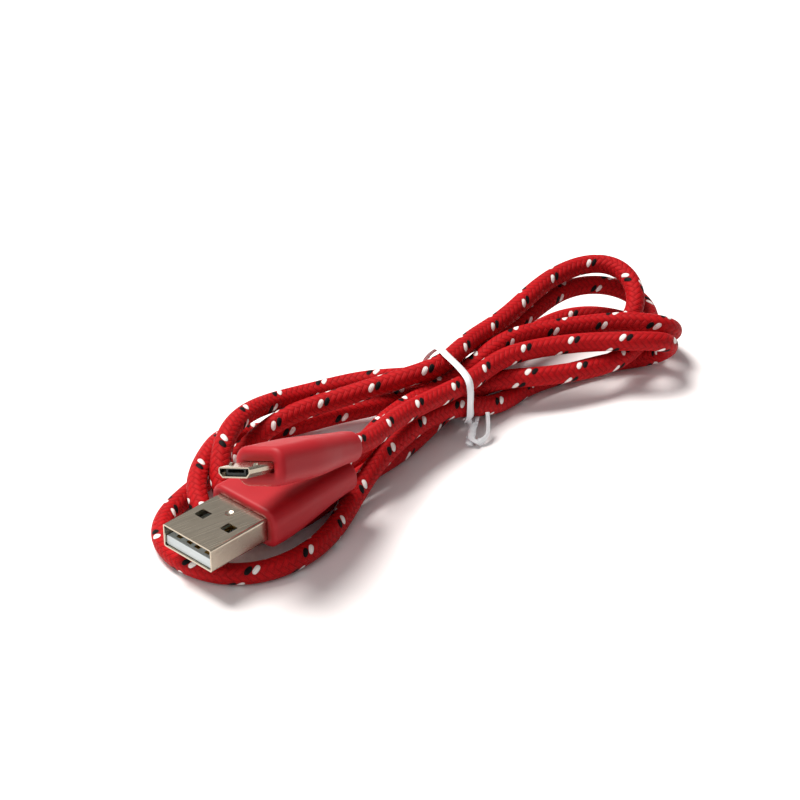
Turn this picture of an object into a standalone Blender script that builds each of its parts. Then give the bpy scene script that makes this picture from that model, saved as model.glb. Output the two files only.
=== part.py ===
"""Braided charging cable: USB-A plug, micro-B plug and about one metre of cord, wound into a hank
that a white twist tie holds. Units in the named sizes are millimetres; the model is in metres.

Each plug is modelled in its own frame, with x = 0 at its mating face, +X towards its cord and +Z up,
and is parented to an empty that places it. The cord's route runs from the USB-A plug's boot to the
micro-B plug's boot, in the hank's frame: X along the hank, origin on the ground under the tie."""

import math

import bmesh
import bpy
import numpy as np
from mathutils import Matrix, Vector

MM = 0.001
GAP = 0.10              # between pieces that sit in one another
SEAT = 0.30             # between pieces that meet end to end

# Cord, from the inside out
WIRE_RADIUS = 0.30
WIRE_GAP = 0.04
JACKET_WALL = 0.42
SLEEVE_WALL = 0.42
WIRE_SIDES = 4
JACKET_SIDES = 6
SLEEVE_SIDES = 8
RUN_GAP = 0.35          # between runs that lie side by side in the hank
wire_offset = WIRE_RADIUS * math.sqrt(2.0) + WIRE_GAP / 2
jacket_bore = (wire_offset + WIRE_RADIUS + WIRE_GAP) / math.cos(math.pi / JACKET_SIDES)
jacket_radius = jacket_bore + JACKET_WALL
sleeve_bore = (jacket_radius + WIRE_GAP) / math.cos(math.pi / SLEEVE_SIDES)
cord_radius = sleeve_bore + SLEEVE_WALL

# USB-A plug
A_SHELL_WIDTH = 12.0
A_SHELL_HEIGHT = 4.5
A_SHELL_WALL = 0.30
A_SHELL_CORNER = 0.40
A_EXPOSED = 13.0        # shell in front of the boot
A_SHELL_IN_BOOT = 5.95
A_WINDOW = (2.15, 2.30)  # along and across the plug
A_WINDOW_X = 6.7
A_WINDOW_Y = 3.2
A_DIMPLE_RADIUS = 0.85
A_DIMPLE_DEPTH = 0.22
A_DIMPLE_X = 9.9
A_TONGUE_FRONT = 0.4
A_TONGUE_THICK = 1.84
A_BLOCK_LENGTH = 5.5
A_CONTACT_WIDTH = 1.0
A_CONTACT_THICK = 0.35
A_CONTACT_PROUD = 0.05
A_CONTACT_Y = (-3.5, -1.0, 1.0, 3.5)
A_TAIL = 1.5            # contact behind the block
A_BEHIND_MOULD = 11.15  # boot behind the inner mould
A_MOULD_HEIGHT = 4.9
A_BOOT_LENGTH = 22.3
A_BOOT_FRONT = (16.0, 7.4)
A_BOOT_REAR = (12.4, 5.8)
A_BOOT_SHOULDER = 0.10  # share of the boot that keeps its full width
A_BOOT_CORNER = 2.4

# Micro-B plug
B_SHELL_WIDTH = 6.85
B_SHELL_HEIGHT = 1.85
B_SHELL_WALL = 0.25
B_SHELL_CORNER = 0.45
B_SHELL_BEVEL = 0.75
B_EXPOSED = 6.1
B_SHELL_IN_BOOT = 3.9
B_CORE_SIDE = 1.02      # room beside the insulator for each latch spring
B_CORE_FRONT = 0.5
B_SLOT_SIDE = 0.4       # insulator beside its slot
B_SLOT_HEIGHT = 0.55
B_SLOT_DEPTH = 4.1
B_SLOT_FLOOR = -0.10    # height of the slot's floor over the axis
B_CONTACT_WIDTH = 0.35
B_CONTACT_THICK = 0.18
B_CONTACT_COUNT = 5
B_TAIL = 0.8
B_LATCH_INSET = 0.525   # latch spring's middle from the shell's inner side
B_LATCH_WIDTH = 0.60
B_LATCH_THICK = 0.25
B_LATCH_RISE = 0.35     # hook above the shell
B_LATCH_X = 2.3
B_LATCH_PIVOT_X = 8.0
B_BEHIND_MOULD = 12.2   # boot behind the inner mould
B_MOULD = (6.4, 4.2)
B_BOOT_LENGTH = 25.0
B_BOOT_FRONT = (10.7, 6.8)
B_BOOT_REAR = (6.4, 5.5)
B_BOOT_SHOULDER = 0.35
B_BOOT_CORNER = 2.4

# Both plugs
CRIMP_WALL = 0.40
CRIMP_LENGTH = 3.6
SLEEVE_IN_CRIMP = 3.9   # how far the sleeve reaches past the crimp's rear end
JACKET_PAST_SLEEVE = 1.6
WIRE_PAST_JACKET = 3.4

# Twist tie
TIE_X = -7.2
TIE_WIDTH = 1.6
TIE_THICK = 0.8
TIE_WALL = 0.18
TIE_WIRE_RADIUS = 0.16
TIE_KNOT_ANGLE = -150.0
TIE_TURNS = 0.75
TIE_KNOT = ((-0.5, -1.0, -0.3), (-2.3, -2.7, -1.6))   # the twist's two ends, from the band's foot
TIE_STUB = ((-0.7, -0.8, -0.2), (-1.3, -1.5, -0.2))
TIE_HOOK = ((-2.0, -4.1, -2.1), (-0.9, -4.5, -2.1), (0.4, -4.2, -1.5), (1.4, -3.2, -0.2),
            (1.9, -2.4, 1.2), (2.1, -2.0, 2.0))

# Places in the hank's frame
A_FRONT = (-76.7, -26.85, 8.25)
A_YAW = 12.0
B_REAR = (-41.5, -23.9, 14.5)
B_YAW = 16.3
B_PITCH = 17.3
B_ROLL = -19.0
HANK_PLACE = Vector((15.498, 12.527, 0.0)) * MM   # puts the origin under the middle of the whole

ROUTE = [
    (-42.17, -19.51, 8.25), (-36.5, -18.2, 8.3), (-25, -11.8, 8.3), (-15, -7.6, 7.2), (-8, -6.2, 7.3),
    (-3, -5.8, 7.6), (3, -4, 9.8), (8, -3.6, 10.6), (16, -4.6, 10.6), (25.6, -7.8, 10.6),
    (34.1, -12, 10.5), (38.6, -16.2, 10),
    # upper finger fold and back along the floor
    (42.8, -14.5, 6.5), (44.8, -8, 3.6), (44.4, -2, 2.2), (41.5, 5, 2), (36.3, 8.6, 2), (28, 8.6, 2),
    (18, 5.5, 2), (8, 1, 2.4), (-3, -3.2, 3), (-8, -4.6, 3.1), (-15, -6.8, 2.4), (-25, -9.8, 2),
    (-35, -13, 2), (-46, -16.5, 2),
    # inner loop under the plugs
    (-55, -17.5, 2), (-60.5, -13.5, 2.8), (-60, -8, 6), (-57, -4.8, 9.2), (-50.1, 0.8, 10),
    (-43, 4.6, 8.7), (-36, 6.2, 7.5), (-23.3, 5, 7.2), (-15, 1, 8), (-8, -1.6, 7.4), (-3, -1.4, 7.2),
    # lower big loop
    (5, 2, 7), (18.4, 4.2, 8.6), (26.3, 6.2, 9.6), (34.1, 7.6, 9.6), (39.8, 5.6, 9.5), (43.9, 3.2, 8.5),
    (45.3, -0.8, 7.3), (44.4, -5, 6.2), (40, -10, 6), (33, -14.5, 6), (25.9, -16.2, 6), (15.9, -14.3, 6),
    (5.7, -11.5, 6), (0, -8.6, 4.4), (-4, -7.6, 3.2), (-9, -8.9, 2.6), (-16.4, -11.5, 2), (-25.2, -14.5, 2),
    (-35, -17.2, 2), (-46, -21, 2),
    # outer loop under the plugs
    (-56, -22.5, 2), (-64, -19.5, 2), (-65.6, -13.5, 3), (-63.9, -9.4, 5.4), (-60.5, -4.5, 6.2),
    (-56.3, -0.7, 6), (-51, 3.5, 4.6), (-43.5, 6.2, 2.4), (-34.3, 4.2, 2.4), (-26, 1.8, 3.4),
    (-15, 0.2, 2.8), (-8, -0.4, 3), (-3, 0.6, 3.4), (5, -1.6, 6.2), (15, -3, 6.2), (26, -5.5, 6.2),
    (34, -8.5, 6.8),
    # top big loop
    (38.5, -8, 9), (40.2, -5.2, 11.4), (41.8, -1.5, 13), (42.6, 2.2, 14), (40.8, 5.6, 14.2),
    (36.8, 7.2, 14.2), (30.8, 7.2, 14), (23.2, 5.7, 13), (13.7, 2.2, 12), (6.8, 0.6, 11),
    (1.5, -1, 10.8), (-3, -3.8, 11.2), (-10.9, -5.4, 11.3), (-19.1, -2.7, 9.8), (-27, -0.4, 8.2),
    (-35.4, 2.1, 7), (-42.1, 2.2, 6.2), (-49.2, 2, 3.6), (-55, 0.2, 2),
    # front loop around the plug
    (-62.2, -3.8, 2), (-68.5, -6.6, 2), (-73.3, -11.3, 2), (-75.3, -17, 2), (-74.1, -24.2, 2),
    (-70.5, -29.8, 2), (-62.5, -32.6, 2), (-55.5, -31.8, 2), (-46.9, -27.6, 2), (-40, -21.9, 2.4),
    (-36, -20, 5), (-29.7, -17.7, 6.2), (-20.2, -14.2, 6.2), (-14.4, -12.2, 6), (-8, -11.4, 5.2),
    (-3, -10.8, 4.2), (3, -9.4, 2.8), (12, -8.6, 2), (22, -9.5, 2), (32, -11.2, 2),
    # lower finger fold
    (37.5, -13.5, 3.4), (38.8, -17.5, 6.4), (36.6, -20.4, 9), (31.9, -19.4, 10), (26.1, -15.6, 10.2),
    (19.9, -12, 10.2), (12.8, -9.6, 10.2), (4.9, -8.6, 9.6), (-3, -9.8, 8.2), (-12.4, -13, 9.8),
    (-21.8, -15.1, 11), (-29.5, -18.2, 12.1), (-36, -22, 12.9), (-41.5, -23.9, 14.5)]
ROUTE_SAMPLES = 500
STATION_LENGTH = 13.0   # longest step of the modelled cord where it is straight
STATION_TURN = 30.0     # and its largest turn


# ---------------------------------------------------------------- scene and materials

for old in list(bpy.data.objects):
    bpy.data.objects.remove(old, do_unlink=True)

parts = bpy.data.collections.new("charging_cable")
cutters = bpy.data.collections.new("cutters")
bpy.context.scene.collection.children.link(parts)
bpy.context.scene.collection.children.link(cutters)


def material(name, colour, roughness, metallic=0.0):
    """Principled material; the colour is linear RGB."""
    mat = bpy.data.materials.new(name)
    mat.use_nodes = True
    shader = mat.node_tree.nodes["Principled BSDF"]
    shader.inputs["Base Color"].default_value = (*colour, 1.0)
    shader.inputs["Roughness"].default_value = roughness
    shader.inputs["Metallic"].default_value = metallic
    return mat


NICKEL = material("nickel_plated_steel", (0.52, 0.48, 0.42), 0.32, 1.0)
GOLD = material("gold_plated_brass", (0.83, 0.60, 0.25), 0.25, 1.0)
WHITE_PLASTIC = material("white_plastic", (0.62, 0.68, 0.68), 0.45)
DARK_PLASTIC = material("dark_plastic", (0.05, 0.06, 0.06), 0.50)
NATURAL_PE = material("natural_polythene", (0.70, 0.68, 0.62), 0.55)
RED_PVC = material("red_pvc", (0.40, 0.012, 0.020), 0.50)
BRAID = material("red_braid", (0.50, 0.006, 0.010), 0.75)
JACKET_PVC = material("grey_pvc", (0.20, 0.20, 0.20), 0.50)
WIRE_COLOURS = {"red": (0.55, 0.02, 0.02), "white": (0.80, 0.80, 0.80),
                "green": (0.02, 0.30, 0.06), "black": (0.02, 0.02, 0.02)}
WHITE_PVC = material("white_pvc", (0.78, 0.79, 0.82), 0.40)
STEEL = material("steel_wire", (0.45, 0.45, 0.45), 0.40, 1.0)


# ---------------------------------------------------------------- modelling helpers

def finish(obj, mat, parent=None, cutter=False):
    """Moves a new object to its collection, gives it its material and its parent."""
    for col in list(obj.users_collection):
        col.objects.unlink(obj)
    (cutters if cutter else parts).objects.link(obj)
    obj.parent = parent
    if cutter:
        obj.hide_render = True
        obj.display_type = "WIRE"
        return obj
    obj.data.materials.clear()
    obj.data.materials.append(mat)
    return obj


def bar(name, x0, x1, width, height, mat, parent, top=0.0, bottom=0.0, y=0.0, z=0.0, rear=None,
        shoulder=0.0, sections=1, segments=3, cutter=False):
    """Bar along X with rounded top edges and rounded or chamfered bottom ones. With rear, it
    narrows behind its shoulder to that width and height."""
    bpy.ops.mesh.primitive_cube_add(size=1.0)
    obj = bpy.context.object
    obj.name = obj.data.name = name
    mesh = bmesh.new()
    mesh.from_mesh(obj.data)
    if sections > 1:
        along = [e for e in mesh.edges if abs(e.verts[0].co.x - e.verts[1].co.x) > 0.5]
        bmesh.ops.subdivide_edges(mesh, edges=along, cuts=sections - 1, use_grid_fill=True)
    for v in mesh.verts:
        t = v.co.x + 0.5
        ease = max(0.0, (t - shoulder) / (1.0 - shoulder))
        ease = ease * ease * (3.0 - 2.0 * ease)
        w = width + ((rear[0] - width) * ease if rear else 0.0)
        h = height + ((rear[1] - height) * ease if rear else 0.0)
        v.co = Vector((x0 + t * (x1 - x0), y + v.co.y * w, z + v.co.z * h)) * MM
    for upper, radius, count in ((True, top, segments), (False, bottom, segments if bottom == top else 1)):
        if radius > 0.0:
            edges = [e for e in mesh.edges if abs(e.verts[0].co.x - e.verts[1].co.x) > 1e-6
                     and len(e.link_faces) == 2
                     and e.link_faces[0].normal.dot(e.link_faces[1].normal) < 0.5
                     and (e.verts[0].co.z > z * MM) == upper]
            bmesh.ops.bevel(mesh, geom=edges, offset=radius * MM, segments=count, affect="EDGES",
                            profile=0.5)
    bmesh.ops.recalc_face_normals(mesh, faces=mesh.faces)
    mesh.to_mesh(obj.data)
    mesh.free()
    obj.data.shade_smooth()
    obj.data.set_sharp_from_angle(angle=math.radians(40))
    return finish(obj, mat, parent, cutter)


def rod(name, x0, x1, radius, mat, parent, sides=24, cutter=False):
    """Cylinder along X."""
    bpy.ops.mesh.primitive_cylinder_add(vertices=sides, radius=radius * MM, depth=(x1 - x0) * MM,
                                        location=Vector(((x0 + x1) / 2, 0.0, 0.0)) * MM,
                                        rotation=(0.0, math.radians(90), 0.0))
    obj = bpy.context.object
    obj.name = obj.data.name = name
    obj.data.shade_smooth()
    obj.data.set_sharp_from_angle(angle=math.radians(40))
    return finish(obj, mat, parent, cutter)


def boolean(obj, other, operation="DIFFERENCE"):
    mod = obj.modifiers.new(other.name, "BOOLEAN")
    mod.operation = operation
    mod.solver = "EXACT"
    mod.object = other
    return obj


def plate(name, outline, y0, y1, mat, parent):
    """Flat plate whose outline is given in X and Z, between two places across the plug."""
    data = bpy.data.curves.new(name, "CURVE")
    data.dimensions = "2D"
    data.fill_mode = "BOTH"
    data.extrude = (y1 - y0) / 2 * MM
    spline = data.splines.new("POLY")
    spline.points.add(len(outline) - 1)
    spline.use_cyclic_u = True
    for point, (x, z) in zip(spline.points, outline):
        point.co = (x * MM, z * MM, 0.0, 1.0)
    obj = bpy.data.objects.new(name, data)
    obj.location = Vector((0.0, (y0 + y1) / 2, 0.0)) * MM
    obj.rotation_euler = (math.radians(90), 0.0, 0.0)
    return finish(obj, mat, parent)


def tube(name, points, radius, sides, mat, wall=None):
    """Round tube along points in metres; hollow when it has a wall."""
    data = bpy.data.curves.new(name, "CURVE")
    data.dimensions = "3D"
    data.twist_mode = "MINIMUM"
    data.bevel_resolution = sides // 2 - 2
    data.bevel_depth = radius * MM
    data.use_fill_caps = wall is None
    spline = data.splines.new("POLY")
    spline.points.add(len(points) - 1)
    for point, co in zip(spline.points, points):
        point.co = (*co, 1.0)
    obj = bpy.data.objects.new(name, data)
    finish(obj, mat)
    if wall is not None:
        mod = obj.modifiers.new("wall", "SOLIDIFY")
        mod.thickness = wall * MM
        mod.offset = -1.0
    return obj


def place(name, location, yaw, pitch=0.0, roll=0.0):
    """Empty that carries one plug, at its mating face."""
    empty = bpy.data.objects.new(name, None)
    empty.matrix_world = (Matrix.Translation(Vector(location) * MM + HANK_PLACE)
                          @ Matrix.Rotation(math.radians(yaw), 4, "Z")
                          @ Matrix.Rotation(math.radians(pitch), 4, "Y")
                          @ Matrix.Rotation(math.radians(roll), 4, "X"))
    parts.objects.link(empty)
    return empty


# ---------------------------------------------------------------- the cord's route

def smooth_curve(points, count):
    """Natural cubic spline through the points, read at evenly spaced places."""
    p = np.array(points, float)
    t = np.r_[0.0, np.cumsum(np.linalg.norm(np.diff(p, axis=0), axis=1))]
    n = len(p)
    h = np.diff(t)
    a = np.zeros((n, n))
    b = np.zeros((n, 3))
    a[0, 0] = a[-1, -1] = 1.0
    for i in range(1, n - 1):
        a[i, i - 1:i + 2] = (h[i - 1], 2 * (h[i - 1] + h[i]), h[i])
        b[i] = 6 * ((p[i + 1] - p[i]) / h[i] - (p[i] - p[i - 1]) / h[i - 1])
    m = np.linalg.solve(a, b)
    s = np.linspace(0.0, t[-1], 12 * count)
    i = np.clip(np.searchsorted(t, s, side="right") - 1, 0, n - 2)
    left = (t[i + 1] - s)[:, None]
    right = (s - t[i])[:, None]
    w = h[i][:, None]
    curve = (m[i] * left ** 3 + m[i + 1] * right ** 3) / (6 * w)
    curve += (p[i] / w - m[i] * w / 6) * left + (p[i + 1] / w - m[i + 1] * w / 6) * right
    return stations(curve, curve_length(curve) / (count - 1))


def curve_length(curve):
    return float(np.linalg.norm(np.diff(curve, axis=0), axis=1).sum())


def stations(curve, step, turn=None):
    """Reads a curve every step, and sooner where it turns by more than turn degrees."""
    d = np.diff(curve, axis=0)
    length = np.linalg.norm(d, axis=1)
    cost = length / step
    if turn:
        t = d / length[:, None]
        bend = np.degrees(np.arccos(np.clip((t[1:] * t[:-1]).sum(1), -1.0, 1.0)))
        cost = cost + np.r_[bend, 0.0] / turn / 2 + np.r_[0.0, bend] / turn / 2
    total = np.r_[0.0, np.cumsum(cost)]
    u = np.linspace(0.0, total[-1], int(math.ceil(total[-1] - 1e-6)) + 1)
    return np.stack([np.interp(u, total, curve[:, k]) for k in range(3)], axis=1)


def ease_apart(curve, spacing, floor, rounds=120):
    """Moves the runs of the hank apart until they lie spacing from each other and on the floor,
    which the tie under the hank raises; the cord's two ends stay where they are."""
    c = curve.copy()
    n = len(c)
    index = np.arange(n)
    near = int(16.0 / curve_length(curve) * n)
    apart = np.abs(index[:, None] - index[None]) > near
    hold = np.minimum(1.0, np.minimum(index, n - 1 - index) / 8.0)[:, None]
    for _ in range(rounds):
        v = c[:, None] - c[None]
        dist = np.linalg.norm(v, axis=2)
        hit = (dist < spacing) & apart
        push = np.where(hit, (spacing - dist) / np.maximum(dist, 1e-6) * 0.5, 0.0)
        move = 1.6 * (v * push[:, :, None]).sum(1) / np.maximum(hit.sum(1), 1)[:, None]
        for _ in range(2):
            move[1:-1] = (move[:-2] + 2 * move[1:-1] + move[2:]) / 4
        c += move * hold
        bow = np.zeros_like(c)
        bow[1:-1] = (c[:-2] + c[2:]) / 2 - c[1:-1]
        stiff = np.zeros_like(c)
        stiff[2:-2] = (bow[1:-3] + bow[3:-1]) / 2 - bow[2:-2]
        c -= 0.3 * stiff * hold
        raised = floor + (TIE_THICK + GAP * 4) * np.exp(-((c[:, 0] - TIE_X) / 9.0) ** 4)
        c[:, 2] = np.maximum(c[:, 2], raised)
    return c


run_spacing = 2 * cord_radius + RUN_GAP
lay = ease_apart(smooth_curve(ROUTE, ROUTE_SAMPLES), run_spacing, cord_radius)
cord_line = stations(lay, STATION_LENGTH, STATION_TURN)


# ---------------------------------------------------------------- plugs

usb_a = place("usb_a_plug", A_FRONT, A_YAW)
a_shell_end = A_EXPOSED + A_SHELL_IN_BOOT
a_rear = A_EXPOSED + A_BOOT_LENGTH
b_rear = B_EXPOSED + B_BOOT_LENGTH
b_axis = Matrix.Rotation(math.radians(B_YAW), 4, "Z") @ Matrix.Rotation(math.radians(B_PITCH), 4, "Y")
b_front = Vector(B_REAR) - b_axis @ Vector((b_rear, 0.0, 0.0))
micro_b = place("micro_b_plug", b_front, B_YAW, B_PITCH, B_ROLL)


def cord_end(prefix, mould_front, mould_length, mould_size, corner, parent):
    """Inner mould and crimp on the cord's end; returns the cutters' bounds for the boot."""
    mould_end = mould_front + mould_length
    mould = bar(prefix + "inner_mould", mould_front, mould_end, *mould_size, NATURAL_PE, parent,
                top=corner, bottom=corner)
    bore = rod(prefix + "mould_bore", mould_front - 1.0, mould_end + 1.0, jacket_radius + GAP, None,
               parent, cutter=True)
    boolean(mould, bore)
    crimp_front = mould_end + SEAT
    crimp = rod(prefix + "crimp", crimp_front, crimp_front + CRIMP_LENGTH,
                cord_radius + GAP + CRIMP_WALL, NICKEL, parent)
    hole = rod(prefix + "crimp_bore", crimp_front - 1.0, crimp_front + CRIMP_LENGTH + 1.0,
               cord_radius + GAP, None, parent, cutter=True)
    boolean(crimp, hole)
    return mould_end, crimp_front


# USB-A shell: drawn tube with two latch windows above and two below
a_shell = bar("usb_a_shell", 0.0, a_shell_end, A_SHELL_WIDTH, A_SHELL_HEIGHT, NICKEL, usb_a,
              top=A_SHELL_CORNER, bottom=A_SHELL_CORNER)
a_bore = (A_SHELL_WIDTH - 2 * A_SHELL_WALL, A_SHELL_HEIGHT - 2 * A_SHELL_WALL)
boolean(a_shell, bar("usb_a_cavity", -1.0, a_shell_end + 1.0, *a_bore, None, usb_a,
                     top=A_SHELL_CORNER - A_SHELL_WALL, bottom=A_SHELL_CORNER - A_SHELL_WALL,
                     cutter=True))
for side in (-1, 1):
    x0 = A_WINDOW_X - A_WINDOW[0] / 2
    window = bar("usb_a_window_" + ("r" if side < 0 else "l"), x0, x0 + A_WINDOW[0], A_WINDOW[1],
                 A_SHELL_HEIGHT + 2.0, None, usb_a, y=side * A_WINDOW_Y, cutter=True)
    boolean(a_shell, window)
a_top = A_SHELL_HEIGHT / 2
a_punch = (A_DIMPLE_RADIUS ** 2 + A_DIMPLE_DEPTH ** 2) / (2 * A_DIMPLE_DEPTH)
bpy.ops.mesh.primitive_uv_sphere_add(segments=32, ring_count=32, radius=a_punch * MM, location=Vector(
    (A_DIMPLE_X, 0.0, a_top - A_DIMPLE_DEPTH + a_punch)) * MM)
a_dimple = bpy.context.object
a_dimple.name = a_dimple.data.name = "usb_a_dimple"
a_dimple.data.shade_smooth()
boolean(a_shell, finish(a_dimple, None, usb_a, cutter=True))

# USB-A insulator: tongue in the lower half of the opening, with a block behind it
a_inner = (a_bore[0] - 2 * GAP, a_bore[1] - 2 * GAP)
a_block_end = a_shell_end - SEAT
a_block_front = a_block_end - A_BLOCK_LENGTH
a_tongue_z = (A_TONGUE_THICK - a_inner[1]) / 2
a_tongue_top = a_tongue_z + A_TONGUE_THICK / 2
a_insulator = bar("usb_a_insulator", a_block_front, a_block_end, *a_inner, WHITE_PLASTIC, usb_a,
                  top=0.2, bottom=0.2, segments=1)
boolean(a_insulator, bar("usb_a_tongue", A_TONGUE_FRONT, a_block_front + 1.0, a_inner[0],
                         A_TONGUE_THICK, None, usb_a, z=a_tongue_z, top=0.2, bottom=0.2, segments=1,
                         cutter=True), "UNION")
a_contact_z = a_tongue_top + A_CONTACT_PROUD - A_CONTACT_THICK / 2
for number, y in enumerate(A_CONTACT_Y, 1):
    groove = bar("usb_a_groove_%d" % number, A_TONGUE_FRONT + 0.7, a_block_end + 1.0,
                 A_CONTACT_WIDTH + 2 * GAP, A_CONTACT_THICK + 2 * GAP, None, usb_a, y=y,
                 z=a_contact_z, cutter=True)
    boolean(a_insulator, groove)
    bar("usb_a_contact_%d" % number, A_TONGUE_FRONT + 0.7 + GAP, a_block_end + A_TAIL,
        A_CONTACT_WIDTH, A_CONTACT_THICK, GOLD, usb_a, y=y, z=a_contact_z)

a_mould_front = a_block_end + A_TAIL + SEAT
a_mould_size = (A_SHELL_WIDTH - 1.0, A_MOULD_HEIGHT)
a_mould_length = a_rear - A_BEHIND_MOULD - a_mould_front
a_mould_end, a_crimp_front = cord_end("usb_a_", a_mould_front, a_mould_length, a_mould_size, 0.8, usb_a)

# Boots: a soft moulding with a pocket for the shell, a chamber for the mould and a bore for the cord
def boot(prefix, front, length, size, rear, shoulder, corner, pocket_end, pocket, pocket_edges,
         mould_end, mould_size, crimp_front, parent):
    body = bar(prefix + "boot", front, front + length, *size, RED_PVC, parent, top=corner,
               bottom=corner, rear=rear, shoulder=shoulder, sections=12, segments=5)
    boolean(body, bar(prefix + "boot_pocket", front - 1.0, pocket_end + SEAT, pocket[0] + 2 * GAP,
                      pocket[1] + 2 * GAP, None, parent, top=pocket_edges[0], bottom=pocket_edges[1],
                      cutter=True))
    boolean(body, bar(prefix + "boot_chamber", pocket_end - SEAT, mould_end + SEAT,
                      mould_size[0] + 2 * GAP, mould_size[1] + 2 * GAP, None, parent, cutter=True))
    crimp_end = crimp_front + CRIMP_LENGTH
    boolean(body, rod(prefix + "boot_crimp_room", mould_end - 0.5, crimp_end + SEAT,
                      cord_radius + 2 * GAP + CRIMP_WALL, None, parent, cutter=True))
    boolean(body, rod(prefix + "boot_bore", crimp_end - 0.5, front + length + 1.0, cord_radius + GAP,
                      None, parent, cutter=True))
    return body


boot("usb_a_", A_EXPOSED, A_BOOT_LENGTH, A_BOOT_FRONT, A_BOOT_REAR, A_BOOT_SHOULDER, A_BOOT_CORNER,
     a_shell_end, (A_SHELL_WIDTH, A_SHELL_HEIGHT), (A_SHELL_CORNER, A_SHELL_CORNER), a_mould_end,
     a_mould_size, a_crimp_front, usb_a)

# Micro-B shell: wide side up, lower corners cut off, two windows for the latch hooks
b_shell_end = B_EXPOSED + B_SHELL_IN_BOOT
b_shell = bar("micro_b_shell", 0.0, b_shell_end, B_SHELL_WIDTH, B_SHELL_HEIGHT, NICKEL, micro_b,
              top=B_SHELL_CORNER, bottom=B_SHELL_BEVEL, segments=2)
b_bore = (B_SHELL_WIDTH - 2 * B_SHELL_WALL, B_SHELL_HEIGHT - 2 * B_SHELL_WALL)
boolean(b_shell, bar("micro_b_cavity", -1.0, b_shell_end + 1.0, *b_bore, None, micro_b,
                     bottom=B_SHELL_BEVEL - B_SHELL_WALL * 0.6, segments=1, cutter=True))
b_hook_length = 1.1
b_latch_y = b_bore[0] / 2 - B_LATCH_INSET
for side in (-1, 1):
    x0 = B_LATCH_X - b_hook_length / 2 - GAP
    window = bar("micro_b_window_" + ("r" if side < 0 else "l"), x0, x0 + b_hook_length + 3 * GAP,
                 B_LATCH_WIDTH + 2 * GAP, B_SHELL_HEIGHT, None, micro_b, y=side * b_latch_y,
                 z=B_SHELL_HEIGHT / 2 + B_SHELL_WALL, cutter=True)
    boolean(b_shell, window)

# Micro-B insulator: a block with a slot, and five contacts in channels on the slot's floor
b_core_end = b_shell_end - SEAT
b_core_size = (b_bore[0] - 2 * B_CORE_SIDE, b_bore[1] - 2 * GAP)
b_slot_width = b_core_size[0] - 2 * B_SLOT_SIDE
b_core = bar("micro_b_insulator", B_CORE_FRONT, b_core_end, *b_core_size, DARK_PLASTIC, micro_b)
boolean(b_core, bar("micro_b_slot", B_CORE_FRONT - 1.0, B_CORE_FRONT + B_SLOT_DEPTH, b_slot_width,
                    B_SLOT_HEIGHT, None, micro_b, z=B_SLOT_FLOOR + B_SLOT_HEIGHT / 2, cutter=True))
b_contact_z = B_SLOT_FLOOR - B_CONTACT_THICK / 2
for number in range(1, B_CONTACT_COUNT + 1):
    y = (number - (B_CONTACT_COUNT + 1) / 2) * b_slot_width / (B_CONTACT_COUNT + 0.4)
    groove = bar("micro_b_groove_%d" % number, B_CORE_FRONT + 0.5, b_core_end + 1.0,
                 B_CONTACT_WIDTH + GAP, B_CONTACT_THICK + GAP, None, micro_b, y=y, z=b_contact_z,
                 cutter=True)
    boolean(b_core, groove)
    bar("micro_b_contact_%d" % number, B_CORE_FRONT + 0.6, b_core_end + B_TAIL, B_CONTACT_WIDTH,
        B_CONTACT_THICK, GOLD, micro_b, y=y, z=b_contact_z)

# Latch springs: a strip beside the insulator, whose hook stands up through the shell's window
b_strip_top = b_bore[1] / 2 - GAP * 2
b_strip_low = b_strip_top - B_LATCH_THICK
b_hook_top = B_SHELL_HEIGHT / 2 + B_LATCH_RISE
hook_front = B_LATCH_X - b_hook_length / 2
latch_outline = [(hook_front, b_strip_low), (B_LATCH_PIVOT_X, b_strip_low),
                 (B_LATCH_PIVOT_X, b_strip_top), (hook_front + b_hook_length, b_strip_top),
                 (hook_front + b_hook_length - 0.15, b_hook_top),
                 (hook_front + b_hook_length - 0.45, b_hook_top), (hook_front, b_strip_top)]
for side, word in ((-1, "right"), (1, "left")):
    outline = [(x - B_LATCH_PIVOT_X, z - (b_strip_low + b_strip_top) / 2) for x, z in latch_outline]
    latch = plate("micro_b_latch_" + word, outline, side * b_latch_y - B_LATCH_WIDTH / 2,
                  side * b_latch_y + B_LATCH_WIDTH / 2, NICKEL, micro_b)
    latch.location.x = B_LATCH_PIVOT_X * MM
    latch.location.z = (b_strip_low + b_strip_top) / 2 * MM

b_mould_front = b_core_end + B_TAIL + SEAT
b_mould_length = b_rear - B_BEHIND_MOULD - b_mould_front
b_mould_end, b_crimp_front = cord_end("micro_b_", b_mould_front, b_mould_length, B_MOULD, 0.5, micro_b)
boot("micro_b_", B_EXPOSED, B_BOOT_LENGTH, B_BOOT_FRONT, B_BOOT_REAR, B_BOOT_SHOULDER, B_BOOT_CORNER,
     b_shell_end, (B_SHELL_WIDTH, B_SHELL_HEIGHT), (B_SHELL_CORNER, B_SHELL_BEVEL), b_mould_end,
     B_MOULD, b_crimp_front, micro_b)


# ---------------------------------------------------------------- cord

bpy.context.view_layer.update()
middle_line = np.array([Vector(p) * MM + HANK_PLACE for p in cord_line.tolist()])


def along(plug, x):
    """World place on a plug's axis."""
    return np.array(plug.matrix_world @ Vector((x * MM, 0.0, 0.0)))


def with_ends(a_x, b_x):
    """The cord's line, carried straight into both boots as far as the given places."""
    inside_a = [along(usb_a, a_x), along(usb_a, a_rear - 0.5)]
    inside_b = [along(micro_b, b_rear - 0.5), along(micro_b, b_x)]
    return np.array(inside_a + list(middle_line[1:-1]) + inside_b)


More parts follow.
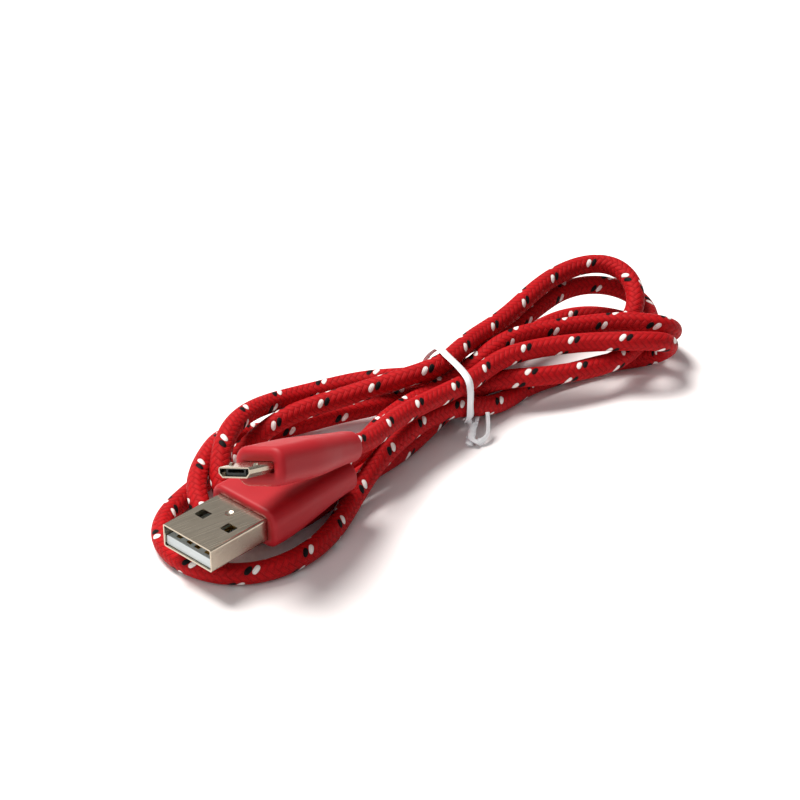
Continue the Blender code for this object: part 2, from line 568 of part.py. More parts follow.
def side_line(line, offset, angle):
    """Line beside another, at an offset and angle in a frame that doesn't twist along it."""
    t = np.gradient(line, axis=0)
    t /= np.linalg.norm(t, axis=1)[:, None]
    up = np.cross(t[0], (0.0, 1.0, 0.0))
    out = []
    for point, tangent in zip(line, t):
        up = up - tangent * up.dot(tangent)
        up /= np.linalg.norm(up)
        beside = np.cross(tangent, up)
        out.append(point + (math.cos(angle) * up + math.sin(angle) * beside) * offset)
    return np.array(out)


a_sleeve_end = a_crimp_front + CRIMP_LENGTH - SLEEVE_IN_CRIMP + SEAT
b_sleeve_end = b_crimp_front + CRIMP_LENGTH - SLEEVE_IN_CRIMP + SEAT
tube("cord_sleeve", with_ends(a_sleeve_end, b_sleeve_end), cord_radius, SLEEVE_SIDES, BRAID,
     wall=SLEEVE_WALL)
a_jacket_end = a_sleeve_end - JACKET_PAST_SLEEVE
b_jacket_end = b_sleeve_end - JACKET_PAST_SLEEVE
tube("cord_jacket", with_ends(a_jacket_end, b_jacket_end), jacket_radius, JACKET_SIDES, JACKET_PVC,
     wall=JACKET_WALL)
a_wire_end = max(a_jacket_end - WIRE_PAST_JACKET, a_mould_front + SEAT)
b_wire_end = max(b_jacket_end - WIRE_PAST_JACKET, b_mould_front + SEAT)
wire_path = with_ends(a_wire_end, b_wire_end)
for number, (colour, shade) in enumerate(WIRE_COLOURS.items()):
    wire = side_line(wire_path, wire_offset * MM, math.radians(45 + 90 * number))
    tube("wire_" + colour, wire, WIRE_RADIUS, WIRE_SIDES, material(colour + "_insulation", shade, 0.45))


# ---------------------------------------------------------------- twist tie

def crossings(line, x):
    """Places, in Y and Z, where the cord passes the plane at x."""
    out = []
    for p, q in zip(line[:-1], line[1:]):
        if (p[0] - x) * (q[0] - x) <= 0.0:
            share = (x - p[0]) / (q[0] - p[0])
            out.append((p + (q - p) * share)[1:])
    return np.array(out)


def around(centres, reach, start, count=180, step=0.8):
    """Taut band around circles: for each direction, the outermost circle's far side."""
    out = []
    for k in range(count + 1):
        angle = math.radians(start) + 2 * math.pi * k / count
        normal = np.array((math.cos(angle), math.sin(angle)))
        best = centres[np.argmax(centres @ normal)]
        point = best + normal * reach
        if not out or k == count or np.linalg.norm(point - out[-1]) > step:
            out.append(point)
    return np.array(out)


def twisted(start, end, phase, radius, turns, count=9):
    """Places on a helix between two points, each with its direction away from the axis."""
    axis = (end - start).normalized()
    first = (Vector((1.0, 0.0, 0.0)) - axis * axis.x).normalized()
    second = axis.cross(first)
    out = []
    for k in range(count):
        share = k / (count - 1)
        angle = math.radians(phase + 360.0 * turns * share)
        away = math.cos(angle) * first + math.sin(angle) * second
        out.append((start.lerp(end, share) + away * radius, away))
    return out


half = TIE_WIDTH * 0.65
bundle = np.concatenate([crossings(cord_line, TIE_X + shift) for shift in (-2 * half, 0.0, 2 * half)])
band = around(bundle, cord_radius + 2 * GAP + TIE_THICK / 2, TIE_KNOT_ANGLE)
foot = Vector((TIE_X, *band[0]))
knot_start = foot + Vector(TIE_KNOT[0])
knot_end = foot + Vector(TIE_KNOT[1])
turns = [(p, q) for p, q in zip(band[:-1], band[1:])]
outward = [Vector((0.0, q[1] - p[1], p[0] - q[0])).normalized() for p, q in turns]
outward.append(outward[0])
loop = [(Vector((TIE_X + half * (1 - 2 * k / (len(band) - 1)), *yz)), away)
        for k, (yz, away) in enumerate(zip(band, outward))]
twist_radius = TIE_THICK / 2 + GAP
one_end = twisted(knot_start, knot_end, 0.0, twist_radius, TIE_TURNS)
other_end = twisted(knot_start, knot_end, 180.0, twist_radius, TIE_TURNS)
stub = [(one_end[-1][0] + Vector(step), one_end[-1][1]) for step in TIE_STUB]
hook = [(foot + Vector(step), Vector((0.35, -0.75, 0.55))) for step in TIE_HOOK]
tie_points = stub[::-1] + one_end[::-1] + loop + other_end + hook
tie_line = np.array([point * MM + HANK_PLACE for point, _ in tie_points])
tie_out = np.array([away for _, away in tie_points])


def strip(name, line, facing, width, thick, wall, mat):
    """Flat hollow strip along a line in metres, whose flat side faces the given directions.
    A curve's bevel can't hold the strip flat to the bundle, so its rings are placed here."""
    t = np.gradient(line, axis=0)
    t /= np.linalg.norm(t, axis=1)[:, None]
    mesh = bmesh.new()
    rings = []
    for point, tangent, away in zip(line, t, facing):
        across = np.cross(tangent, away)
        across /= np.linalg.norm(across)
        out = np.cross(across, tangent)
        ring = []
        for k in range(8):
            angle = math.radians(22.5 + 45 * k)
            w = math.cos(angle) * width / 2 / math.cos(math.radians(22.5))
            h = math.sin(angle) * thick / 2 / math.cos(math.radians(22.5))
            ring.append(mesh.verts.new(point + (across * w + out * h) * MM))
        rings.append(ring)
    for one, two in zip(rings[:-1], rings[1:]):
        for k in range(8):
            mesh.faces.new((one[k], one[k - 7], two[k - 7], two[k]))
    bmesh.ops.recalc_face_normals(mesh, faces=mesh.faces)
    data = bpy.data.meshes.new(name)
    mesh.to_mesh(data)
    mesh.free()
    data.shade_smooth()
    obj = finish(bpy.data.objects.new(name, data), mat)
    mod = obj.modifiers.new("wall", "SOLIDIFY")
    mod.thickness = wall * MM
    mod.offset = -1.0
    return obj


strip("tie_strip", tie_line, tie_out, TIE_WIDTH, TIE_THICK, TIE_WALL, WHITE_PVC)
tube("tie_wire", tie_line, TIE_WIRE_RADIUS, 6, STEEL)
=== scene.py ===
import math

import bmesh
import bpy
import numpy as np
from mathutils import Matrix, Vector


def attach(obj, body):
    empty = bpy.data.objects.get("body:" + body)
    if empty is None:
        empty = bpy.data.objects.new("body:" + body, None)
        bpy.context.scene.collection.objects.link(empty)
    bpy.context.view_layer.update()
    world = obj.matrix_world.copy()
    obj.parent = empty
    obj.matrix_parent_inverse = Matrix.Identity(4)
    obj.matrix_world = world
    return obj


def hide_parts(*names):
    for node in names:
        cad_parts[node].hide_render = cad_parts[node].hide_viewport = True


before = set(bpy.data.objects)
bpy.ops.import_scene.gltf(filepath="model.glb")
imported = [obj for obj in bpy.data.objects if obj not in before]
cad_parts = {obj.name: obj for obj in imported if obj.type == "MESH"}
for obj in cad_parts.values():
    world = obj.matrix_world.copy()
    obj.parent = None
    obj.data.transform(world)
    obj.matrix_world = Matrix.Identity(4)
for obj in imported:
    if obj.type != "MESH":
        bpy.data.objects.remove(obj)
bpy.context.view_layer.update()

# ---------------------------------------------------------------- camera
# A still-life camera on a tripod: a long lens, about 0.4 m off, that looks down along the hank from
# the plugs' end.
hank_place = np.array((0.015498, 0.012527, 0.0))
camera_down = 30.7
camera_turn = -35.0
camera_data = bpy.data.cameras.new("camera")
camera_data.lens = 96.5
camera_data.sensor_width = 36.0
camera_data.clip_start = 0.01
camera = bpy.data.objects.new("camera", camera_data)
camera.location = Vector((-0.2185, -0.2920, 0.2146)) + Vector(hank_place)
camera.rotation_euler = (math.radians(90.0 - camera_down), 0.0, math.radians(camera_turn))
bpy.context.scene.collection.objects.link(camera)
bpy.context.scene.camera = camera

# ---------------------------------------------------------------- the cord's lay
# A round cord wound over the hand into a hank and left to spring open. Its runs cross and rest on
# each other, so the route is eased until no two runs share a place.
cord_radius = 0.0018981
run_gap = 0.00035
tie_x = -0.0072
tie_thick = 0.0008
tie_lift = tie_thick + 0.0004
tie_spread = 0.009
same_run = 0.016
route = [
    (-0.04217, -0.01951, 0.00825), (-0.0365, -0.0182, 0.0083), (-0.025, -0.0118, 0.0083),
    (-0.015, -0.0076, 0.0072), (-0.008, -0.0062, 0.0073), (-0.003, -0.0058, 0.0076),
    (0.003, -0.004, 0.0098), (0.008, -0.0036, 0.0106), (0.016, -0.0046, 0.0106),
    (0.0256, -0.0078, 0.0106), (0.0341, -0.012, 0.0105), (0.0386, -0.0162, 0.01),
    (0.0428, -0.0145, 0.0065), (0.0448, -0.008, 0.0036), (0.0444, -0.002, 0.0022),
    (0.0415, 0.005, 0.002), (0.0363, 0.0086, 0.002), (0.028, 0.0086, 0.002), (0.018, 0.0055, 0.002),
    (0.008, 0.001, 0.0024), (-0.003, -0.0032, 0.003), (-0.008, -0.0046, 0.0031),
    (-0.015, -0.0068, 0.0024), (-0.025, -0.0098, 0.002), (-0.035, -0.013, 0.002),
    (-0.046, -0.0165, 0.002), (-0.055, -0.0175, 0.002), (-0.0605, -0.0135, 0.0028),
    (-0.06, -0.008, 0.006), (-0.057, -0.0048, 0.0092), (-0.0501, 0.0008, 0.01),
    (-0.043, 0.0046, 0.0087), (-0.036, 0.0062, 0.0075), (-0.0233, 0.005, 0.0072),
    (-0.015, 0.001, 0.008), (-0.008, -0.0016, 0.0074), (-0.003, -0.0014, 0.0072), (0.005, 0.002, 0.007),
    (0.0184, 0.0042, 0.0086), (0.0263, 0.0062, 0.0096), (0.0341, 0.0076, 0.0096),
    (0.0398, 0.0056, 0.0095), (0.0439, 0.0032, 0.0085), (0.0453, -0.0008, 0.0073),
    (0.0444, -0.005, 0.0062), (0.04, -0.01, 0.006), (0.033, -0.0145, 0.006), (0.0259, -0.0162, 0.006),
    (0.0159, -0.0143, 0.006), (0.0057, -0.0115, 0.006), (0, -0.0086, 0.0044), (-0.004, -0.0076, 0.0032),
    (-0.009, -0.0089, 0.0026), (-0.0164, -0.0115, 0.002), (-0.0252, -0.0145, 0.002),
    (-0.035, -0.0172, 0.002), (-0.046, -0.021, 0.002), (-0.056, -0.0225, 0.002),
    (-0.064, -0.0195, 0.002), (-0.0656, -0.0135, 0.003), (-0.0639, -0.0094, 0.0054),
    (-0.0605, -0.0045, 0.0062), (-0.0563, -0.0007, 0.006), (-0.051, 0.0035, 0.0046),
    (-0.0435, 0.0062, 0.0024), (-0.0343, 0.0042, 0.0024), (-0.026, 0.0018, 0.0034),
    (-0.015, 0.0002, 0.0028), (-0.008, -0.0004, 0.003), (-0.003, 0.0006, 0.0034),
    (0.005, -0.0016, 0.0062), (0.015, -0.003, 0.0062), (0.026, -0.0055, 0.0062),
    (0.034, -0.0085, 0.0068), (0.0385, -0.008, 0.009), (0.0402, -0.0052, 0.0114),
    (0.0418, -0.0015, 0.013), (0.0426, 0.0022, 0.014), (0.0408, 0.0056, 0.0142),
    (0.0368, 0.0072, 0.0142), (0.0308, 0.0072, 0.014), (0.0232, 0.0057, 0.013), (0.0137, 0.0022, 0.012),
    (0.0068, 0.0006, 0.011), (0.0015, -0.001, 0.0108), (-0.003, -0.0038, 0.0112),
    (-0.0109, -0.0054, 0.0113), (-0.0191, -0.0027, 0.0098), (-0.027, -0.0004, 0.0082),
    (-0.0354, 0.0021, 0.007), (-0.0421, 0.0022, 0.0062), (-0.0492, 0.002, 0.0036),
    (-0.055, 0.0002, 0.002), (-0.0622, -0.0038, 0.002), (-0.0685, -0.0066, 0.002),
    (-0.0733, -0.0113, 0.002), (-0.0753, -0.017, 0.002), (-0.0741, -0.0242, 0.002),
    (-0.0705, -0.0298, 0.002), (-0.0625, -0.0326, 0.002), (-0.0555, -0.0318, 0.002),
    (-0.0469, -0.0276, 0.002), (-0.04, -0.0219, 0.0024), (-0.036, -0.02, 0.005),
    (-0.0297, -0.0177, 0.0062), (-0.0202, -0.0142, 0.0062), (-0.0144, -0.0122, 0.006),
    (-0.008, -0.0114, 0.0052), (-0.003, -0.0108, 0.0042), (0.003, -0.0094, 0.0028),
    (0.012, -0.0086, 0.002), (0.022, -0.0095, 0.002), (0.032, -0.0112, 0.002),
    (0.0375, -0.0135, 0.0034), (0.0388, -0.0175, 0.0064), (0.0366, -0.0204, 0.009),
    (0.0319, -0.0194, 0.01), (0.0261, -0.0156, 0.0102), (0.0199, -0.012, 0.0102),
    (0.0128, -0.0096, 0.0102), (0.0049, -0.0086, 0.0096), (-0.003, -0.0098, 0.0082),
    (-0.0124, -0.013, 0.0098), (-0.0218, -0.0151, 0.011), (-0.0295, -0.0182, 0.0121),
    (-0.036, -0.022, 0.0129), (-0.0415, -0.0239, 0.0145)]


def resample(curve, count):
    """Points at even steps along a polyline."""
    run = np.r_[0.0, np.cumsum(np.linalg.norm(np.diff(curve[:, :3], axis=0), axis=1))]
    at = np.linspace(0.0, run[-1], count)
    return np.stack([np.interp(at, run, curve[:, k]) for k in range(curve.shape[1])], axis=1)


def smooth_curve(points, count):
    """Natural cubic spline through the points, read at evenly spaced places; columns after the
    third ride along."""
    p = np.array(points, float)
    t = np.r_[0.0, np.cumsum(np.linalg.norm(np.diff(p[:, :3], axis=0), axis=1))]
    n = len(p)
    h = np.diff(t)
    a = np.zeros((n, n))
    b = np.zeros(p.shape)
    a[0, 0] = a[-1, -1] = 1.0
    for i in range(1, n - 1):
        a[i, i - 1:i + 2] = (h[i - 1], 2 * (h[i - 1] + h[i]), h[i])
        b[i] = 6 * ((p[i + 1] - p[i]) / h[i] - (p[i] - p[i - 1]) / h[i - 1])
    m = np.linalg.solve(a, b)
    s = np.linspace(0.0, t[-1], 12 * count)
    i = np.clip(np.searchsorted(t, s, side="right") - 1, 0, n - 2)
    left = (t[i + 1] - s)[:, None]
    right = (s - t[i])[:, None]
    w = h[i][:, None]
    curve = (m[i] * left ** 3 + m[i + 1] * right ** 3) / (6 * w)
    curve += (p[i] / w - m[i] * w / 6) * left + (p[i + 1] / w - m[i + 1] * w / 6) * right
    return resample(curve, count)


def ease_apart(curve, spacing, floor, rounds=120):
    """Moves the hank's runs apart until they lie spacing from each other and on the floor, which
    the tie under the hank raises; the cord's two ends stay where they are."""
    c = curve.copy()
    n = len(c)
    index = np.arange(n)
    near = int(same_run / np.linalg.norm(np.diff(c, axis=0), axis=1).sum() * n)
    apart = np.abs(index[:, None] - index[None]) > near
    hold = np.minimum(1.0, np.minimum(index, n - 1 - index) / 8.0)[:, None]
    for _ in range(rounds):
        v = c[:, None] - c[None]
        dist = np.linalg.norm(v, axis=2)
        hit = (dist < spacing) & apart
        push = np.where(hit, (spacing - dist) / np.maximum(dist, 1e-9) * 0.5, 0.0)
        move = 1.6 * (v * push[:, :, None]).sum(1) / np.maximum(hit.sum(1), 1)[:, None]
        for _ in range(2):
            move[1:-1] = (move[:-2] + 2 * move[1:-1] + move[2:]) / 4
        c += move * hold
        bow = np.zeros_like(c)
        bow[1:-1] = (c[:-2] + c[2:]) / 2 - c[1:-1]
        stiff = np.zeros_like(c)
        stiff[2:-2] = (bow[1:-3] + bow[3:-1]) / 2 - bow[2:-2]
        c -= 0.3 * stiff * hold
        raised = floor + tie_lift * np.exp(-((c[:, 0] - tie_x) / tie_spread) ** 4)
        c[:, 2] = np.maximum(c[:, 2], raised)
    return c


lay = ease_apart(smooth_curve(route, 500), 2 * cord_radius + run_gap, cord_radius)


def plug_frame(location, yaw, pitch=0.0, roll=0.0):
    """Frame of a plug: x = 0 at its mating face, +X towards its cord, +Z up."""
    return (Matrix.Translation(Vector(location) + Vector(hank_place))
            @ Matrix.Rotation(math.radians(yaw), 4, "Z")
            @ Matrix.Rotation(math.radians(pitch), 4, "Y")
            @ Matrix.Rotation(math.radians(roll), 4, "X"))


a_boot_front = 0.013
a_boot_length = 0.0223
b_boot_front = 0.0061
b_boot_length = 0.025
a_rear = a_boot_front + a_boot_length
b_rear = b_boot_front + b_boot_length
a_yaw = 12.0
b_yaw = 16.3
b_pitch = 17.3
b_roll = -19.0
usb_a = plug_frame((-0.0767, -0.02685, 0.00825), a_yaw)
b_turn = (Matrix.Rotation(math.radians(b_yaw), 4, "Z")
          @ Matrix.Rotation(math.radians(b_pitch), 4, "Y"))
micro_b = plug_frame(Vector(route[-1]) - b_turn @ Vector((b_rear, 0.0, 0.0)), b_yaw, b_pitch, b_roll)

# ---------------------------------------------------------------- braided sleeve
# Sixteen-carrier polyester braid, each yarn over two and under two, drawn tight over the jacket.
# Two neighbouring carriers hold a black and a white yarn, and the rest red: they show as flecks.
in_boot = 0.0078
boot_lip = 0.0005
lay_path = [usb_a @ Vector((a_rear - back, 0.0, 0.0)) for back in (in_boot, boot_lip)]
lay_path += [Vector(p) for p in (lay[2:-2] + hank_place).tolist()]
lay_path += [micro_b @ Vector((b_rear - back, 0.0, 0.0)) for back in (boot_lip, in_boot)]
sleeve_path = smooth_curve([tuple(p) for p in lay_path], 1700)


def carried_frames(path, up):
    """Two directions across a path that don't twist along it, starting from up."""
    t = np.gradient(path, axis=0)
    t /= np.linalg.norm(t, axis=1)[:, None]
    first = []
    for tangent in t:
        up = up - tangent * up.dot(tangent)
        up = up / np.linalg.norm(up)
        first.append(up)
    first = np.array(first)
    return first, np.cross(t, first)


def new_piece(name, verts, faces):
    """Smooth-shaded mesh object at the origin, from points and faces."""
    data = bpy.data.meshes.new(name)
    data.from_pydata([tuple(v) for v in verts], [], faces)
    data.validate()
    data.shade_smooth()
    obj = bpy.data.objects.new(name, data)
    bpy.context.scene.collection.objects.link(obj)
    return obj


def loft(rings, closed=False):
    """Points and outward faces of a skin over rings of equal count; the ends are capped unless the
    rings come back to the first one."""
    count = len(rings[0])
    verts = np.concatenate(rings)
    faces = []
    steps = len(rings) if closed else len(rings) - 1
    for i in range(steps):
        a = i * count
        b = ((i + 1) % len(rings)) * count
        faces += [(a + k, a + (k + 1) % count, b + (k + 1) % count, b + k) for k in range(count)]
    if not closed:
        faces.append(tuple(range(count - 1, -1, -1)))
        faces.append(tuple(range(len(verts) - count, len(verts))))
    return verts, faces


sleeve_sides = 40
up, beside = carried_frames(sleeve_path, np.array((0.0, 0.0, 1.0)))
turn = 2 * math.pi * np.arange(sleeve_sides) / sleeve_sides
rings = [p + cord_radius * (np.cos(turn)[:, None] * u + np.sin(turn)[:, None] * b)
         for p, u, b in zip(sleeve_path, up, beside)]
sleeve = new_piece("braided_sleeve", *loft(rings))
run = np.r_[0.0, np.cumsum(np.linalg.norm(np.diff(sleeve_path, axis=0), axis=1))] * 1000.0
wrap = np.stack([np.tile(np.cos(turn), len(run)), np.tile(np.sin(turn), len(run)),
                 np.repeat(run, sleeve_sides)], axis=1)
sleeve.data.attributes.new("wrap", "FLOAT_VECTOR", "POINT").data.foreach_set("vector", wrap.ravel())


def colour(hex_code):
    """Linear RGBA of an sRGB hex colour."""
    values = [int(hex_code[i:i + 2], 16) / 255 for i in (1, 3, 5)]
    return [v / 12.92 if v <= 0.04045 else ((v + 0.055) / 1.055) ** 2.4 for v in values] + [1.0]


def new_material(name, base, roughness, metallic=0.0, ior=1.5):
    """Material with its shader's constant values set; returns it with its nodes and shader."""
    mat = bpy.data.materials.new(name)
    mat.use_nodes = True
    shader = mat.node_tree.nodes["Principled BSDF"]
    for socket, value in (("Base Color", colour(base)), ("Roughness", roughness),
                          ("Metallic", metallic), ("IOR", ior)):
        shader.inputs[socket].default_value = value
    return mat, shader


def node(mat, kind, links=(), **settings):
    """Adds a node with its settings; links gives inputs by place or name, as values or sockets."""
    n = mat.node_tree.nodes.new(kind)
    for key, value in settings.items():
        setattr(n, key, value)
    for key, value in dict(links).items():
        if isinstance(value, bpy.types.NodeSocket):
            mat.node_tree.links.new(value, n.inputs[key])
        else:
            n.inputs[key].default_value = value
    return n


def sums(mat, operation, *values, clamp=False):
    """Math node's result."""
    return node(mat, "ShaderNodeMath", enumerate(values), operation=operation, use_clamp=clamp).outputs[0]


# Polyester yarn, dyed before braiding: a soft sheen along each float, and painted shade that darkens the
# colour where floats dive, towards their sides and between plies.
braid_pitch = 10.4
carriers = 8
braid, braid_shader = new_material("braided polyester", "#c4141c", 0.62, ior=1.54)
braid_shader.inputs["Specular IOR Level"].default_value = 0.1
place = node(braid, "ShaderNodeAttribute", attribute_name="wrap")
split = node(braid, "ShaderNodeSeparateXYZ", {0: place.outputs["Vector"]})
around = sums(braid, "DIVIDE", sums(braid, "ARCTAN2", split.outputs[1], split.outputs[0]), 2 * math.pi)
along = sums(braid, "DIVIDE", split.outputs[2], braid_pitch)
right_lay = sums(braid, "MULTIPLY", sums(braid, "ADD", along, around), carriers)
left_lay = sums(braid, "MULTIPLY", sums(braid, "SUBTRACT", along, around), carriers)
right_cell = sums(braid, "FLOOR", right_lay)
left_cell = sums(braid, "FLOOR", left_lay)
u = sums(braid, "SUBTRACT", right_lay, right_cell)
v = sums(braid, "SUBTRACT", left_lay, left_cell)
step = sums(braid, "FLOORED_MODULO", sums(braid, "SUBTRACT", left_cell, right_cell), 4.0)
right_over = sums(braid, "LESS_THAN", step, 1.5)


def choose(mat, when, yes, no):
    """One value where when is 1 and the other where it is 0."""
    return sums(mat, "ADD", sums(mat, "MULTIPLY", when, yes),
                sums(mat, "MULTIPLY", sums(mat, "SUBTRACT", 1.0, when), no))


across = choose(braid, right_over, u, v)
travel = sums(braid, "MULTIPLY", 0.5, choose(braid, right_over, sums(braid, "ADD", step, v),
                                             sums(braid, "ADD", sums(braid, "SUBTRACT", 3.0, step), u)))
side = sums(braid, "SUBTRACT", sums(braid, "MULTIPLY", across, 2.0), 1.0)
end = sums(braid, "SUBTRACT", sums(braid, "MULTIPLY", travel, 2.0), 1.0)
crown = sums(braid, "SUBTRACT", 1.0, sums(braid, "POWER", sums(braid, "ABSOLUTE", side), 2.4))
dive = sums(braid, "SUBTRACT", 1.0, sums(braid, "POWER", sums(braid, "ABSOLUTE", end), 3.0))
height = sums(braid, "MULTIPLY", crown, dive)
carrier = sums(braid, "FLOORED_MODULO", right_cell, float(carriers))
side_bulge = sums(braid, "POWER", sums(braid, "ABSOLUTE", side), 2.2)
end_bulge = sums(braid, "POWER", sums(braid, "ABSOLUTE", end), 2.2)
bulge = sums(braid, "ADD", sums(braid, "MULTIPLY", side_bulge, 1.25),
             sums(braid, "MULTIPLY", end_bulge, 1.5))
showing = node(braid, "ShaderNodeMapRange", {0: bulge, 1: 1.1, 2: 1.4, 3: 1.0, 4: 0.0}).outputs[0]
black_yarn = sums(braid, "MULTIPLY", showing,
                  sums(braid, "MULTIPLY", right_over, sums(braid, "LESS_THAN", carrier, 0.5)))
white_yarn = sums(braid, "MULTIPLY", showing,
                  sums(braid, "MULTIPLY", right_over, sums(braid, "COMPARE", carrier, 1.0, 0.5)))
fibre_at = node(braid, "ShaderNodeCombineXYZ", {0: sums(braid, "MULTIPLY", across, 9.0),
                                                1: sums(braid, "MULTIPLY", travel, 1.2),
                                                2: sums(braid, "ADD", right_cell, left_cell)})
fibres = node(braid, "ShaderNodeTexNoise", {"Vector": fibre_at.outputs[0], "Scale": 1.0, "Detail": 2.0})
ply = sums(braid, "ABSOLUTE", sums(braid, "SINE", sums(braid, "MULTIPLY", across, 3 * math.pi)))
object_place = node(braid, "ShaderNodeTexCoord")
wear = node(braid, "ShaderNodeTexNoise", {"Vector": object_place.outputs["Object"], "Scale": 160.0,
                                          "Detail": 2.0})
red = node(braid, "ShaderNodeMix", {0: wear.outputs[0], 6: colour("#a80a11"), 7: colour("#c51218")},
           data_type="RGBA")
with_black = node(braid, "ShaderNodeMix", {0: black_yarn, 6: red.outputs[2], 7: colour("#0c0b0c")},
                  data_type="RGBA")
with_white = node(braid, "ShaderNodeMix", {0: white_yarn, 6: with_black.outputs[2],
                                           7: colour("#fbf4f0")}, data_type="RGBA")
# Painted shade: the yarn colour is darkened by up to half where floats dive, towards their sides and
# between plies; the fibre noise adds random tone.
painted_shade_and_fibre_tone = sums(braid, "ADD", sums(braid, "MULTIPLY", height, 0.45),
           sums(braid, "ADD", sums(braid, "MULTIPLY", ply, 0.3),
                sums(braid, "MULTIPLY", fibres.outputs[0], 0.35)), clamp=True)
painted_shade_multiply = node(braid, "ShaderNodeMix", {0: 1.0, 6: with_white.outputs[2],
                                       7: node(braid, "ShaderNodeCombineColor",
                                               {0: painted_shade_and_fibre_tone, 1: painted_shade_and_fibre_tone, 2: painted_shade_and_fibre_tone}).outputs[0]},
              data_type="RGBA", blend_type="MULTIPLY")
colour_with_painted_shade = node(braid, "ShaderNodeMix", {0: 0.5, 6: with_white.outputs[2], 7: painted_shade_multiply.outputs[2]},
               data_type="RGBA")
relief = sums(braid, "ADD", height, sums(braid, "ADD", sums(braid, "MULTIPLY", ply, 0.3),
                                         sums(braid, "MULTIPLY", fibres.outputs[0], 0.2)))
braid_bump = node(braid, "ShaderNodeBump", {"Height": relief, "Strength": 0.7, "Distance": 0.00016})
braid.node_tree.links.new(colour_with_painted_shade.outputs[2], braid_shader.inputs["Base Color"])
braid.node_tree.links.new(braid_bump.outputs[0], braid_shader.inputs["Normal"])
sleeve.data.materials.append(braid)
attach(sleeve, "cable")
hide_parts("cord_sleeve")

# ---------------------------------------------------------------- soft boots
# Red PVC moulded over the back of each plug, in one shot with its rounded edges. The skin comes
# from a spark-eroded tool, so it is even and matt.
def outline(width, height, radius, count=64):
    """Rounded rectangle across the plug, read at even steps from the middle of its left side."""
    radius = min(radius, width / 2, height / 2)
    corner = np.radians(np.arange(0.0, 91.0, 7.5))
    points = [(width / 2, 0.0)]
    for quarter, (sy, sz) in enumerate(((1, 1), (-1, 1), (-1, -1), (1, -1))):
        angle = corner + quarter * math.pi / 2
        points += [(sy * (width / 2 - radius) + radius * math.cos(a),
                    sz * (height / 2 - radius) + radius * math.sin(a)) for a in angle]
    points.append((width / 2, 0.0))
    return resample(np.array(points), count + 1)[:-1]


def section(x, shape):
    """An outline's points in the plug's frame, at x."""
    return np.column_stack([np.full(len(shape), x), shape])


def to_world(frame_matrix, verts):
    """Points of a plug's frame, in the scene's."""
    m = np.array(frame_matrix)
    return verts @ m[:3, :3].T + m[:3, 3]


def boot_moulding(name, plug, front, length, size, rear, shoulder, corner, edge, inside):
    """Boot with rounded front and rear edges, over the rooms that hold the plug's inner pieces;
    inside lists where each room starts and its outline, from the cord's end."""
    def body(x, inset):
        t = max(0.0, (x / length - shoulder) / (1.0 - shoulder))
        t = t * t * (3.0 - 2.0 * t)
        w = size[0] + (rear[0] - size[0]) * t - 2 * inset
        h = size[1] + (rear[1] - size[1]) * t - 2 * inset
        return section(front + x, outline(w, h, corner - inset * 0.6))

    turn_in = np.radians(np.linspace(0.0, 90.0, 8))
    rings = [body(edge * (1 - math.cos(a)), edge * (1 - math.sin(a))) for a in turn_in]
    rings += [body(x, 0.0) for x in np.linspace(edge, length - edge, 34)[1:-1]]
    rings += [body(length - edge * (1 - math.cos(a)), edge * (1 - math.sin(a))) for a in turn_in[::-1]]
    rings += [section(x, shape) for x, shape in inside]
    verts, faces = loft(rings, closed=True)
    return new_piece(name, to_world(plug, verts), faces)


pvc, pvc_shader = new_material("moulded soft PVC", "#b01f28", 0.5, ior=1.53)
pvc_shader.inputs["Specular IOR Level"].default_value = 0.25
pvc_place = node(pvc, "ShaderNodeTexCoord")
pvc_grain = node(pvc, "ShaderNodeTexNoise", {"Vector": pvc_place.outputs["Object"], "Scale": 4500.0,
                                             "Detail": 3.0, "Roughness": 0.6})
pvc_cloud = node(pvc, "ShaderNodeTexNoise", {"Vector": pvc_place.outputs["Object"], "Scale": 180.0,
                                             "Detail": 2.0})
pvc_colour = node(pvc, "ShaderNodeMix", {0: pvc_cloud.outputs[0], 6: colour("#a0151e"),
                                         7: colour("#ad1a23")}, data_type="RGBA")
pvc_rough = node(pvc, "ShaderNodeMapRange", {0: pvc_cloud.outputs[0], 1: 0.3, 2: 0.7, 3: 0.46, 4: 0.58})
pvc_bump = node(pvc, "ShaderNodeBump", {"Height": pvc_grain.outputs[0], "Strength": 0.25,
                                        "Distance": 0.00003})
pvc.node_tree.links.new(pvc_colour.outputs[2], pvc_shader.inputs["Base Color"])
pvc.node_tree.links.new(pvc_rough.outputs[0], pvc_shader.inputs["Roughness"])
pvc.node_tree.links.new(pvc_bump.outputs[0], pvc_shader.inputs["Normal"])

bore = outline(2 * cord_radius + 0.0002, 2 * cord_radius + 0.0002, 1.0)
crimp_room = outline(2 * cord_radius + 0.0012, 2 * cord_radius + 0.0012, 1.0)
a_pocket = outline(0.0122, 0.0047, 0.0005)
a_chamber = outline(0.0112, 0.0051, 0.0008)
a_crimp_end, a_chamber_end, a_pocket_end = 0.02835, 0.02445, 0.01925
a_rooms = [(a_rear, bore), (a_crimp_end + 0.0001, bore), (a_crimp_end, crimp_room),
           (a_chamber_end + 0.00001, crimp_room), (a_chamber_end, a_chamber),
           (a_pocket_end + 0.00001, a_chamber), (a_pocket_end, a_pocket), (a_boot_front, a_pocket)]
a_boot = boot_moulding("usb_a_boot_moulding", usb_a, a_boot_front, a_boot_length, (0.016, 0.0074),
                       (0.0124, 0.0058), 0.10, 0.0024, 0.0008, a_rooms)
b_pocket = outline(0.00705, 0.00205, 0.0005)
b_chamber = outline(0.0066, 0.0044, 0.0005)
b_crimp_end, b_chamber_end, b_pocket_end = 0.0231, 0.0192, 0.0103
b_rooms = [(b_rear, bore), (b_crimp_end + 0.0001, bore), (b_crimp_end, crimp_room),
           (b_chamber_end + 0.00001, crimp_room), (b_chamber_end, b_chamber),
           (b_pocket_end + 0.00001, b_chamber), (b_pocket_end, b_pocket), (b_boot_front, b_pocket)]
